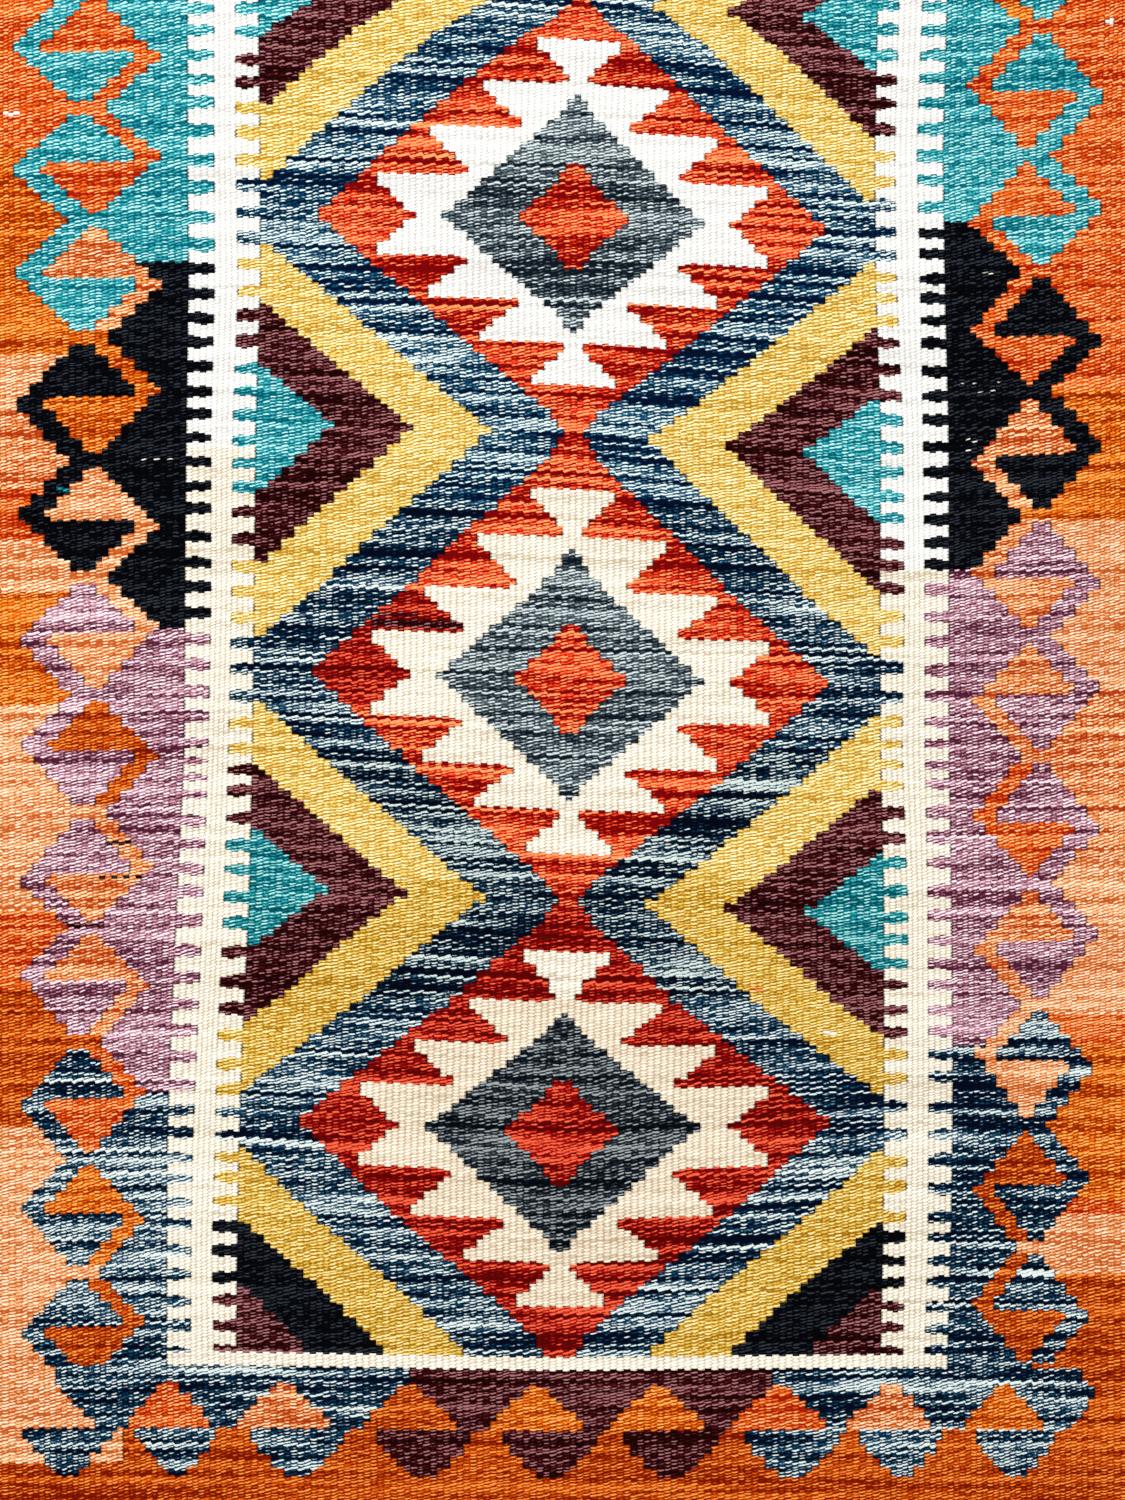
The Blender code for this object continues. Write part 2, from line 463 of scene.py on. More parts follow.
# %% Where the teeth lie
# columns: number of the tooth, counted down from the far end, and its height
LEFT_OUTER_TEETH = (
    (1, 799.2), (5, 749.8), (10, 676), (15, 612), (20, 551.2), (25, 484.1), (30, 417.3),
    (33, 389.2), (37, 339), (40, 294.1), (45, 225.2), (50, 166.4), (55, 99.8),
)
LEFT_INNER_TEETH = (
    (1, 798.7), (5, 747.2), (10, 679.1), (15, 611.5), (20, 549.6), (25, 482), (30, 413.9),
    (32, 391.3), (37, 322.9), (40, 278.2), (43, 236.6), (48, 178.4), (54, 100.4),
)
RIGHT_TEETH = (
    (1, 800.0), (5, 749.3), (10, 682.2), (15, 624), (20, 557.4), (25, 496.6), (30, 427.4),
    (33, 394.4), (38, 326.3), (42, 278.2), (45, 242.1), (50, 170.6), (56, 100.4),
)
# in mm: from the first tooth to the next, how far a tooth may lie off its place, and by how much
# the tip is cut back above and below
FIRST_PITCH, TOOTH_SHIFT, TIP_CUT = 13, 0.8, 0.6
# the smallest and the largest share of the pitch that a tooth takes, and its length in warps
TOOTH_SHARE = (0.42, 0.5)
TOOTH = 4
print("teeth counted:", [table[-1][0] for table in (LEFT_OUTER_TEETH, LEFT_INNER_TEETH, RIGHT_TEETH)])


# %% Stripes and teeth
def teeth(anchors, seed):
    """The height of every tooth's middle, and how tall each one is."""
    draw = np.random.default_rng(seed)
    numbers = np.arange(anchors[0][0] - 1, anchors[-1][0] + 1)
    middles = np.interp(numbers, [row[0] for row in anchors], [row[1] for row in anchors])
    middles[0] = middles[1] + FIRST_PITCH
    pitch = np.abs(np.gradient(middles))
    shifts = draw.uniform(-TOOTH_SHIFT, TOOTH_SHIFT, len(middles))
    return middles + shifts, pitch * draw.uniform(*TOOTH_SHARE, len(middles))


def guard_stripe(columns, new_ball):
    for column in columns:
        chart[column] = np.where(height[column] > new_ball, NUMBER["white"], NUMBER["ivory"])


def toothed_stripe(columns, source, tip, anchors, seed, new_ball):
    """A stripe with teeth in the colours of the source warp, down to the warp of their tips."""
    guard_stripe(columns, new_ball)
    for middle, tall in zip(*teeth(anchors, seed)):
        colour = chart[source, np.argmin(np.abs(height[source] - middle))]
        for column in columns:
            half = tall / 2 - (TIP_CUT if column == tip else 0)
            chart[column, np.abs(height[column] - middle) < half] = colour


# %% Weave the guard stripes
guard_stripe(range(OUT_LEFT + TOOTH, IN_LEFT - TOOTH), NEW_WHITE)
guard_stripe(range(IN_RIGHT + TOOTH, OUT_RIGHT - TOOTH), NEW_WHITE_RIGHT)
# columns: first warp, whether the teeth grow to the right, their heights, seed, height of the new ball
for start, grows_right, anchors, seed, new_ball in (
    (OUT_LEFT, True, LEFT_OUTER_TEETH, 3, NEW_WHITE),
    (IN_LEFT - TOOTH, False, LEFT_INNER_TEETH, 4, NEW_WHITE),
    (IN_RIGHT, True, RIGHT_TEETH, 5, NEW_WHITE_RIGHT),
    (OUT_RIGHT - TOOTH, False, RIGHT_TEETH, 6, NEW_WHITE_RIGHT),
):
    source, tip = (start - 1, start + TOOTH - 1) if grows_right else (start + TOOTH, start)
    toothed_stripe(range(start, start + TOOTH), source, tip, anchors, seed, new_ball)
print("guards woven, each", IN_LEFT - OUT_LEFT, "warps wide")

# %% [markdown]
# ## The end borders
#
# A plain white stripe closes the field, and beyond it lies a row of split diamonds on their
# sides: warm triangles standing in the ground, with cool ones hanging below them. The
# far end of the rug is out of the picture, so it repeats the near one in mirror.

# %% Rows and triangles of an end border
# in mm: where the field starts and ends, and how wide the white stripe beyond it is
FIELD_START, FIELD_END = 97.2, 822.1
STRIPE = 7.2
# the warps between which the ground is plum, and those between which the outer ground is rust
PLUM_GROUND = (68.5, 123.5)
RUST_OUTER = (22, 164)
# how far out from the field each row of the border begins: ground, four rows up, four down, edge
END_ROWS = (STRIPE, 15.6, 21.3, 27.5, 33.8, 38.4, 44.7, 50.9, 57.7, 63.4)
WARM_FIRST, COOL_FIRST = 2, 6
# columns: middle of the warm triangle, middle of the cool one, warm yarn, cool yarn
TRIANGLES = (
    (31, 32.4, "flame", "blue"),
    (50, 52, "apricot", "blue"),
    (69, 71, "rust", "plum"),
    (88, 90, "amber", "plum"),
    (106, 108, "amber", "plum"),
    (124, 126, "flame", "blue"),
    (141, 143, "apricot", "blue"),
    (161, 163, "amber", "blue"),
)
# half the width of each of a triangle's rows, from the field out
WARM_HALVES = (1.6, 3.6, 5.6, 7.1)
COOL_HALVES = WARM_HALVES[::-1]
# where the ground of the first rows ends at the two corners, and a lone triangle at the left one
LEFT_CORNER = (11, 12.5, 14, 16, 18)
RIGHT_CORNER = (175, 177, 176, 174.5, 172.5)
CORNER_MIDDLE = 12.9
CORNER_HALVES = (7.7, 5.8, 4.1, 1.8)
print(2 * len(TRIANGLES), "triangles and one more in the corner")


# %% One end border
def end_border(out, cool_name, stripe_yarn):
    """The chart with one end woven, where out is how far beyond the field each crossing lies."""
    centre = warp + 0.5
    in_plum = (centre > PLUM_GROUND[0]) & (centre < PLUM_GROUND[1])
    ground = np.where(in_plum, NUMBER["plum"], NUMBER[cool_name])
    outer = np.where(on_left, yarn_at(LEFT_OUTER, height), yarn_at(RIGHT_OUTER, height))
    outer = np.where((warp > RUST_OUTER[0]) & (warp < RUST_OUTER[1]), NUMBER["rust"], outer)
    band = np.searchsorted(END_ROWS, out, side="right")
    woven = np.where(band < COOL_FIRST, ground, outer)
    for number, (left, right) in enumerate(zip(LEFT_CORNER, RIGHT_CORNER), start=1):
        past = (centre < left) | (centre > right)
        woven = np.where((band == number) & past, outer, woven)
    for warm_middle, cool_middle, warm, cool in TRIANGLES:
        under = NUMBER["plum" if cool == "plum" else cool_name]
        for step, (warm_half, cool_half) in enumerate(zip(WARM_HALVES, COOL_HALVES)):
            in_warm = (band == WARM_FIRST + step) & (np.abs(centre - warm_middle) < warm_half)
            in_cool = (band == COOL_FIRST + step) & (np.abs(centre - cool_middle) < cool_half)
            woven = np.where(in_warm, NUMBER[warm], woven)
            woven = np.where(in_cool, under, woven)
    for step, half in enumerate(CORNER_HALVES):
        in_corner = (band == COOL_FIRST + step) & (np.abs(centre - CORNER_MIDDLE) < half)
        woven = np.where(in_corner, NUMBER[cool_name], woven)
    stripe = (out >= 0) & (out < STRIPE) & (warp >= OUT_LEFT) & (warp < OUT_RIGHT)
    return np.where(out >= STRIPE, woven, np.where(stripe, NUMBER[stripe_yarn], chart))


# %% Weave both ends
chart = end_border(FIELD_START - flat, "blue", "ivory")
chart = end_border(flat - FIELD_END, "teal", "white")
print("ends woven, each", round(END_ROWS[-1] - STRIPE, 1), "mm tall beyond the white stripe")

# %% [markdown]
# ## Rounded steps
#
# Where a colour turns back at the corner of a step, the last pass wraps round its warp and
# sinks, so the corner is round. In the chart one bead changes hands at each corner, and
# goes to the yarn that stands higher on the shelf. The teeth and thin tips stay as they are.

# %% Round the corners of the steps
square = chart.copy()
for side in (1, -1):
    beside = np.roll(square, side, axis=0)
    for up in (PICKS_A_BEAD, -PICKS_A_BEAD):
        beyond = np.roll(square, up, axis=1)
        before = np.roll(square, -3 * up, axis=1)
        corner = (square > beside) & (beside == beyond) & (before == square)
        corner[OUT_LEFT:IN_LEFT] = corner[IN_RIGHT:OUT_RIGHT] = corner[0] = corner[-1] = False
        corner[:, :PICKS_A_BEAD] = corner[:, -PICKS_A_BEAD:] = False
        chart[corner] = beside[corner]
print(int((chart != square).sum()), "crossings changed")

# %% [markdown]
# ## Odd picks
#
# No hand weaving is perfect. A short length of another yarn was laid in here and there,
# and in the black ground a few picks were not beaten down, so the white warp shows as a
# dot between them. In these spots the yarn called bare is black with a bare white crest.

# %% Lay in the odd picks
# columns: height at its first warp, first warp, last warp, warps from one to the next, picks,
# yarn, and the yarns that it may cover
REDS = ("red", "crimson")
ODD_PICKS = (
    (564, 22, 28, 2, 2, "bare", ("black",)), (603, 153, 161, 2, 2, "bare", ("black",)),
    (599, 156, 158, 2, 2, "bare", ("black",)), (573, 154, 155, 1, 2, "bare", ("black",)),
    (569, 154, 154, 1, 2, "bare", ("black",)), (660, 157, 158, 1, 2, "bare", ("black",)),
    (483.6, 59, 67, 1, 2, "plum", REDS), (477.9, 61, 77, 1, 5, "plum", REDS),
    (458, 0, 11, 1, 4, "rust", ("amber", "peach")), (548, 11, 12, 1, 2, "teal", ("black", "peach")),
    (288.6, 119, 120, 1, 2, "red", ("mustard",)), (394.7, 174, 178, 2, 2, "plum", ("peach",)),
    (364, 19, 22, 1, 2, "black", ("lilac", "apricot")), (345.8, 18, 24, 2, 2, "black", ("lilac", "apricot")),
    (321, 12, 18, 1, 3, "plum", ("lilac", "apricot")), (791, 176, 177, 1, 3, "white", ("flame",)),
    (743.6, 3, 5, 1, 2, "white", ("flame",)), (265.7, 130, 131, 1, 2, "white", ("mustard",)),
    (620, 159, 159, 1, 6, "bare", ("black",)),
)
for level, first_warp, last_warp, stride, picks_tall, name, over in ODD_PICKS:
    start = np.abs(height[first_warp] - level).argmin()
    spot = chart[first_warp:last_warp + 1:stride, start:start + picks_tall]
    spot[np.isin(spot, [NUMBER[other] for other in over])] = NUMBER[name]
counts = np.bincount(chart.ravel(), minlength=len(YARNS))
print("crossings of each yarn:", {name: int(counts[number]) for name, number in NUMBER.items()})

# %% [markdown]
# ## Beads and slits
#
# The cloth is plain weave, so each pick shows over every other warp, and the next pick
# over the ones between. What shows is a brickwork of beads, each one warp wide and two
# picks tall. Where two colours meet along a warp, neither weft crosses over, and the gap
# that stays open is a slit. Each face of the mesh covers ten picks of half a warp, and
# carries the yarns of its six beads and the picks between which its edge is slit.

# %% Yarns of the beads that each face shows
PICKS_A_FACE = 10
FACE_ROWS = PICKS // PICKS_A_FACE
# two yarn numbers, each below this, go into one number
PACK_BASE = 32
NO_SLIT = -10
face_warp, face_row = np.meshgrid(np.arange(WARPS), np.arange(FACE_ROWS), indexing="ij")


def bead_yarns():
    """Six yarn numbers for each warp and face row, two to a number."""
    packed = []
    for pair in range(3):
        lower = PICKS_A_FACE * face_row + 2 * PICKS_A_BEAD * pair - face_warp % 2
        upper = lower + PICKS_A_BEAD
        first, second = [chart[face_warp, np.clip(picks, 0, PICKS - 1)] for picks in (lower, upper)]
        packed.append(first + PACK_BASE * second)
    return np.stack(packed, axis=-1)


packed_yarns = bead_yarns()
print("yarns packed for", packed_yarns.shape[0], "warps in", packed_yarns.shape[1], "rows of faces")


# %% Slits between the warps
def slits():
    """The first and last slit pick at the left edge of each warp, in each face row."""
    differs = np.zeros((WARPS + 1, PICKS), bool)
    differs[1:WARPS] = chart[1:] != chart[:-1]
    core = differs & np.roll(differs, 1, axis=1) & np.roll(differs, -1, axis=1)
    opened = core | np.roll(core, 1, axis=1) | np.roll(core, -1, axis=1)
    by_face = opened.reshape(WARPS + 1, FACE_ROWS, PICKS_A_FACE)
    first = by_face.argmax(axis=2)
    last = PICKS_A_FACE - by_face[:, :, ::-1].argmax(axis=2)
    # a face that holds the ends of two slits keeps the longer one
    shut = ~by_face
    number = np.arange(PICKS_A_FACE)
    shut_above = shut & (number >= first[..., None])
    low_end = np.where(shut_above.any(axis=2), shut_above.argmax(axis=2), PICKS_A_FACE)
    shut_below = (shut & (number < last[..., None]))[:, :, ::-1]
    high_start = np.where(shut_below.any(axis=2), PICKS_A_FACE - shut_below.argmax(axis=2), 0)
    keep_low = low_end - first >= last - high_start
    first, last = np.where(keep_low, first, high_start), np.where(keep_low, low_end, last)
    start = np.arange(FACE_ROWS) * PICKS_A_FACE
    return np.where(by_face.any(axis=2), [start + first, start + last], NO_SLIT)


slit_first, slit_last = slits()
print("face edges with a slit:", int((slit_first >= 0).sum()))

# %% [markdown]
# ## The cloth
#
# The cloth is one closed mesh. Its top has a line of points on each rib and in each
# valley between two ribs, the underside has the same, and three lines of points carry the
# weft round the edge. A sharp edge in each valley keeps the ribs round when they are
# shaded smooth.

# %% Heights of the ribs
# in mm: the thickest place, how deep a valley lies, how far the outermost warps stand out, and
# how much the ribs differ
THICKNESS, RIB_DEPTH, SELVEDGE_EXTRA, UNEVENNESS = 3.0, 0.6, 0.2, 0.12
SELVEDGE_WARPS = 2
# the floor presses the ribs of the underside a little flatter
UNDERSIDE_SHARE = 0.8
TOP_SEED, UNDERSIDE_SEED = 11, 12
COLUMNS = 2 * WARPS
column_grid, line_grid = np.meshgrid(np.arange(COLUMNS + 1), np.arange(FACE_ROWS + 1), indexing="ij")


def rib_heights(seed):
    """How far each point lies below the cloth's face: little on a rib, more in a valley."""
    draw = np.random.default_rng(seed)
    by_warp = draw.uniform(0, UNEVENNESS, (WARPS, 1))
    by_warp = by_warp + draw.uniform(0, UNEVENNESS, (WARPS, FACE_ROWS + 1)) / 2
    by_warp[:SELVEDGE_WARPS] -= SELVEDGE_EXTRA
    by_warp[-SELVEDGE_WARPS:] -= SELVEDGE_EXTRA
    below = np.zeros(column_grid.shape)
    below[1::2] = by_warp
    below[2:-1:2] = np.maximum(by_warp[1:], by_warp[:-1]) + RIB_DEPTH
    below[0], below[-1] = by_warp[0] + RIB_DEPTH, by_warp[-1] + RIB_DEPTH
    return below + SELVEDGE_EXTRA


top_z = THICKNESS - rib_heights(TOP_SEED)
low_z = rib_heights(UNDERSIDE_SEED) * UNDERSIDE_SHARE
low_z = low_z - low_z.min()
print(f"top from {top_z.min():.2f} to {top_z.max():.2f} mm")

# %% The plan of the cloth
# how far inside the outline the top and the underside begin to turn round, in mm
EDGE_ROUND = 1.2
# columns: angle of each line of points round the edge, and how many warps it counts past the last
EDGE_LINES = ((45, 0.3), (0, 0.6), (-45, 0.3))
# how far in the shape of an end reaches, in mm, and that of a long edge, in warps
END_REACH, SIDE_REACH = 40, 6
weave_u = column_grid / 2.0
weave_v = line_grid * float(PICKS_A_FACE)


def fade(distance, reach):
    """1 at an edge of the cloth, and 0 from this distance on."""
    return np.clip(1 - distance / reach, 0, 1)


def plan(inset):
    """The place of every point, with the cloth's outline drawn in by this much."""
    flat_height = weave_v * PICK
    y = flat_height + lean(weave_u, flat_height)
    x = across(weave_u, y)
    near, far = (column_at(ENDS, weave_u / WARPS, end) + inset for end in (1, 2))
    y = y + near * fade(flat_height, END_REACH) - far * fade(LENGTH - flat_height, END_REACH)
    x = x + inset * (fade(weave_u, SIDE_REACH) - fade(WARPS - weave_u, SIDE_REACH))
    return x, y - LENGTH / 2


def outline(grid):
    """The values round the grid's border, once round against the clock seen from above."""
    return np.concatenate([grid[:-1, 0], grid[-1, :-1], grid[:0:-1, -1], grid[0, :0:-1]])


top_x, top_y = plan(EDGE_ROUND)
full_x, full_y = plan(0)
print(f"plan from {full_x.min():.1f} to {full_x.max():.1f} mm across")

# %% Points of the top, the underside and the edge
layers = [np.stack([top_x, top_y, z], -1).reshape(-1, 3) for z in (top_z, low_z)]
middle, half = (outline(top_z) + outline(low_z)) / 2, (outline(top_z) - outline(low_z)) / 2
for angle, _ in EDGE_LINES:
    out, up = math.cos(math.radians(angle)), math.sin(math.radians(angle))
    x = outline(top_x) + out * (outline(full_x) - outline(top_x))
    y = outline(top_y) + out * (outline(full_y) - outline(top_y))
    layers.append(np.stack([x, y, middle + half * up], -1))
points = np.concatenate(layers)
print(len(points), "points")

# %% Faces of the top, the underside and the edge
number_grid = np.arange((COLUMNS + 1) * (FACE_ROWS + 1)).reshape(COLUMNS + 1, FACE_ROWS + 1)
corners = (number_grid[:-1, :-1], number_grid[1:, :-1], number_grid[1:, 1:], number_grid[:-1, 1:])
top_faces = np.stack(corners, -1).reshape(-1, 4)
under_faces = top_faces[:, ::-1] + number_grid.size
face_column, face_line = np.meshgrid(np.arange(COLUMNS), np.arange(FACE_ROWS), indexing="ij")

ring_size = 2 * (COLUMNS + FACE_ROWS)
rings = [outline(number_grid)]
rings += [2 * number_grid.size + ring_size * level + np.arange(ring_size) for level in range(len(EDGE_LINES))]
rings += [outline(number_grid) + number_grid.size]
edge_faces = [
    np.stack([upper, lower, np.roll(lower, -1), np.roll(upper, -1)], -1)
    for upper, lower in zip(rings, rings[1:])
]
# the top face that each stretch of the outline belongs to
edge_column = np.minimum(outline(column_grid), COLUMNS - 1)
edge_line = np.minimum(outline(line_grid), FACE_ROWS - 1)
edge_column[COLUMNS + FACE_ROWS:2 * COLUMNS + FACE_ROWS] = np.arange(COLUMNS - 1, -1, -1)
edge_line[2 * COLUMNS + FACE_ROWS:] = np.arange(FACE_ROWS - 1, -1, -1)

faces = np.concatenate([top_faces, under_faces, *edge_faces])
column_of = np.concatenate([face_column.ravel()] * 2 + [edge_column] * len(edge_faces))
line_of = np.concatenate([face_line.ravel()] * 2 + [edge_line] * len(edge_faces))
print(len(faces), "faces,", 2 * len(faces), "triangles")

# %% Make the mesh
cloth_mesh = bpy.data.meshes.new("kilim_cloth")
cloth_mesh.from_pydata(points / 1000, [], faces.tolist())
cloth = bpy.data.objects.new("kilim_cloth", cloth_mesh)
bpy.context.scene.collection.objects.link(cloth)
bpy.ops.object.select_all(action="DESELECT")
cloth.select_set(True)
bpy.context.view_layer.objects.active = cloth
bpy.ops.object.shade_smooth()
print("valid mesh:", not cloth_mesh.validate())

# %% [markdown]
# ## What the mesh tells the material
#
# The map named weave counts warps across and picks up, so the material knows at any
# point which bead it is on, however the warps wander. It counts on past the last warp round
# the edge. A second map lays the rug out flat, so that its colours can be baked into one
# picture. The yarns and the slits are stored on the faces.

# %% Maps and face values
weave_map = [np.stack([weave_u, weave_v], -1).reshape(-1, 2)] * 2
edge_u, edge_v = outline(weave_u), outline(weave_v)
away_u = 1.0 * (edge_u == WARPS) - (edge_u == 0)
away_v = 1.0 * (edge_v == PICKS) - (edge_v == 0)
for _, past in EDGE_LINES:
    weave_map.append(np.stack([edge_u + past * away_u, edge_v + PICKS_A_BEAD * past * away_v], -1))
flat_map = points[:, :2] / (WIDTH, LENGTH) + 0.5


def add_map(name, by_point):
    layer = cloth_mesh.uv_layers.new(name=name, do_init=False)
    layer.uv.foreach_set("vector", by_point[faces.ravel()].astype(np.float32).ravel())


def add_face_values(name, values):
    attribute = cloth_mesh.attributes.new(name, "FLOAT_VECTOR", "FACE")
    attribute.data.foreach_set("vector", np.asarray(values, np.float32).ravel())


add_map("OFBake", flat_map)
add_map("weave", np.concatenate(weave_map))
add_face_values("bead yarns", packed_yarns[column_of // 2, line_of])
slit_place = (column_of + 1) // 2, line_of
slit_picks = np.stack([slit_first[slit_place], slit_last[slit_place], np.zeros(len(faces))], -1)
add_face_values("slit picks", slit_picks)
print("maps:", [layer.name for layer in cloth_mesh.uv_layers])

# %% Mark the valleys sharp
ends = np.zeros(2 * len(cloth_mesh.edges), np.int32)
cloth_mesh.edges.foreach_get("vertices", ends)
on_edge = np.full(len(EDGE_LINES) * ring_size, -1)
column_by_point = np.concatenate([column_grid.ravel()] * 2 + [on_edge])
one_end, other_end = column_by_point[ends.reshape(-1, 2)].T
in_valley = (one_end == other_end) & (one_end % 2 == 0) & (one_end > 0) & (one_end < COLUMNS)
sharp = cloth_mesh.attributes.new("sharp_edge", "BOOLEAN", "EDGE")
sharp.data.foreach_set("value", in_valley)
print(int(in_valley.sum()), "valley edges marked sharp")

# %% [markdown]
# ## Helpers for nodes
#
# A material is a graph of nodes. Most of the work here is plain arithmetic, so a few small
# helpers keep it readable. Each makes one node, in the graph that its inputs come from, and
# gives back its output. Two more make a group with named inputs and outputs, and place it.

# %% Nodes for arithmetic
def tree_of(*values):
    """The graph that holds the first socket among these values."""
    return next(value.id_data for value in values if isinstance(value, bpy.types.NodeSocket))


def feed(value, socket):
    """Links a socket to another, or sets it to a plain value."""
    if isinstance(value, bpy.types.NodeSocket):
        socket.id_data.links.new(value, socket)
    else:
        socket.default_value = value


def calc(operation, *values):
    node = tree_of(*values).nodes.new("ShaderNodeMath")
    node.operation = operation
    for value, socket in zip(values, node.inputs):
        feed(value, socket)
    return node.outputs[0]


def times(first, second):
    return calc("MULTIPLY", first, second)


def plus(first, second):
    return calc("ADD", first, second)


def minus(first, second):
    return calc("SUBTRACT", first, second)


def limit(value, low, high):
    """The value, held between two numbers."""
    return calc("MINIMUM", calc("MAXIMUM", value, low), high)


def between(value, low, high, low_out=0.0, high_out=1.0):
    """Turns a range of values into another, and stops at its ends."""
    node = tree_of(value).nodes.new("ShaderNodeMapRange")
    titles = ("Value", "From Min", "From Max", "To Min", "To Max")
    for title, number in zip(titles, (value, low, high, low_out, high_out)):
        feed(number, node.inputs[title])
    return node.outputs[0]


# %% Nodes for colours, places and noise
def blend_colours(share, first, second, mode="MIX"):
    node = tree_of(first, second).nodes.new("ShaderNodeMix")
    node.data_type = "RGBA"
    node.blend_type = mode
    feed(share, node.inputs["Factor"])
    colours = [socket for socket in node.inputs if socket.type == "RGBA"]
    feed(first, colours[0])
    feed(second, colours[1])
    return [socket for socket in node.outputs if socket.type == "RGBA"][0]


def vector_of(x, y, z=0.0):
    node = tree_of(x, y, z).nodes.new("ShaderNodeCombineXYZ")
    for value, socket in zip((x, y, z), node.inputs):
        feed(value, socket)
    return node.outputs[0]


def parts_of(vector):
    node = tree_of(vector).nodes.new("ShaderNodeSeparateXYZ")
    feed(vector, node.inputs[0])
    return node.outputs


def noise(place):
    """Soft noise from 0 to 1, with about one blob to each unit of the place."""
    node = tree_of(place).nodes.new("ShaderNodeTexNoise")
    node.inputs["Scale"].default_value = 1.0
    node.inputs["Detail"].default_value = 1.0
    feed(place, node.inputs["Vector"])
    return node.outputs["Fac"]


# %% Helpers for groups
SOCKET_KINDS = {"number": "NodeSocketFloat", "vector": "NodeSocketVector", "colour": "NodeSocketColor"}


def new_group(name, inputs, outputs):
    """A node group, with the kind of each input and output given beside its title."""
    group = bpy.data.node_groups.new(name, "ShaderNodeTree")
    for way, titles in (("INPUT", inputs), ("OUTPUT", outputs)):
        for title, kind in titles.items():
            group.interface.new_socket(title, in_out=way, socket_type=SOCKET_KINDS[kind])
    return group, group.nodes.new("NodeGroupInput").outputs, group.nodes.new("NodeGroupOutput").inputs


def place_group(tree, group, **values):
    node = tree.nodes.new("ShaderNodeGroup")
    node.node_tree = group
    for title, value in values.items():
        feed(value, node.inputs[title])
    return node.outputs


# %% [markdown]
# ## Which bead is this?
#
# The first group turns a place in the weave into the bead that covers it: its warp, its
# pick, and how far across and along the bead the point lies. Odd warps are shifted by one
# pick, which makes the brickwork. Three inputs make it less even: how far the passes wander
# up and down, how far a bead reaches into the gap beside it, and how much the twist of the
# yarn slants it.

# %% Group: weave cell
weave_cell, given, result = new_group(
    "weave cell",
    {"Place": "vector", "Slant": "number", "Interlock": "number", "Wander": "number"},
    {"Warp": "number", "Bead": "number", "Pick": "number", "Across": "number", "Along": "number"},
)
# how quickly the wander changes from warp to warp and from pick to pick
WANDER_ACROSS, WANDER_UP = 0.45, 0.12
place_u, place_v, _ = parts_of(given["Place"])
wander = noise(vector_of(times(place_u, WANDER_ACROSS), times(place_v, WANDER_UP)))
place_v = plus(place_v, times(minus(wander, 0.5), given["Wander"]))
# how far the beads on the two sides of the nearest valley reach over it
valley = calc("FLOOR", plus(place_u, 0.5))
swing = plus(place_v, calc("FLOORED_MODULO", valley, 2.0))
swing = calc("COSINE", times(swing, math.pi))
from_valley = calc("ABSOLUTE", minus(place_u, valley))
reach = times(swing, between(from_valley, 0.0, 0.5, 1.0, 0.0))
place_u = minus(place_u, times(reach, given["Interlock"]))
# the bead, counted up its warp
cell_warp = calc("FLOOR", place_u)
odd = calc("FLOORED_MODULO", cell_warp, 2.0)
cell_across = minus(place_u, cell_warp)
slant = times(minus(cell_across, 0.5), given["Slant"])
beads_up = times(plus(plus(place_v, odd), slant), 1 / PICKS_A_BEAD)
cell_bead = calc("FLOOR", beads_up)
feed(cell_warp, result["Warp"])
feed(cell_bead, result["Bead"])
feed(minus(times(cell_bead, PICKS_A_BEAD), odd), result["Pick"])
feed(cell_across, result["Across"])
feed(minus(beads_up, cell_bead), result["Along"])
print("weave cell:", len(weave_cell.nodes), "nodes")

# %% [markdown]
# ## Which yarn is on it?
#
# Each face carries its six yarns as three numbers. The second group counts beads from the
# foot of the face, picks the number that holds the one in hand, and parts it again: whole
# thirty-twos are the upper yarn of the pair, and what is left over is the lower one.

# %% Group: bead yarn
bead_yarn, given, result = new_group(
    "bead yarn", {"Packed": "vector", "Place": "vector", "Bead": "number"}, {"Yarn": "number"}
)
BEADS_A_FACE = PICKS_A_FACE / PICKS_A_BEAD
# small shifts that keep rounding from taking the next face or the next yarn
FACE_SLACK, YARN_SLACK = 0.01, 0.25
_, place_v, _ = parts_of(given["Place"])
inside = limit(place_v, FACE_SLACK, PICKS - FACE_SLACK)
face_start = times(calc("FLOOR", calc("DIVIDE", inside, PICKS_A_FACE)), BEADS_A_FACE)
slot = limit(minus(given["Bead"], face_start), 0.0, BEADS_A_FACE)
first, second, third = parts_of(given["Packed"])
# slots 0 and 1 are in the first number, 2 and 3 in the second, and 4 and 5 in the third
past_first = calc("GREATER_THAN", slot, 1.5)
past_second = calc("GREATER_THAN", slot, 3.5)
pair = plus(first, times(past_first, minus(second, first)))
pair = plus(pair, times(past_second, minus(third, pair)))
upper = calc("FLOOR", calc("DIVIDE", plus(pair, YARN_SLACK), PACK_BASE))
lower = minus(pair, times(upper, PACK_BASE))
is_upper = calc("FLOORED_MODULO", slot, 2.0)
feed(plus(lower, times(is_upper, minus(upper, lower))), result["Yarn"])
print("bead yarn:", len(bead_yarn.nodes), "nodes")

# %% [markdown]
# ## Colours from the shelf
#
# A colour ramp with steps works as the shelf: a yarn's number picks its colour. Three
# ramps hold the deep, main and pale tones. Two more hold the strength of the streaks and
# how clearly the beads show.

# %% Group: yarn shelf
yarn_shelf, given, result = new_group(
    "yarn shelf",
    {"Yarn": "number"},
    {"Deep": "colour", "Main": "colour", "Pale": "colour", "Streak": "number", "Beading": "number"},
)
shelf_place = calc("DIVIDE", plus(given["Yarn"], 0.5), len(YARNS))


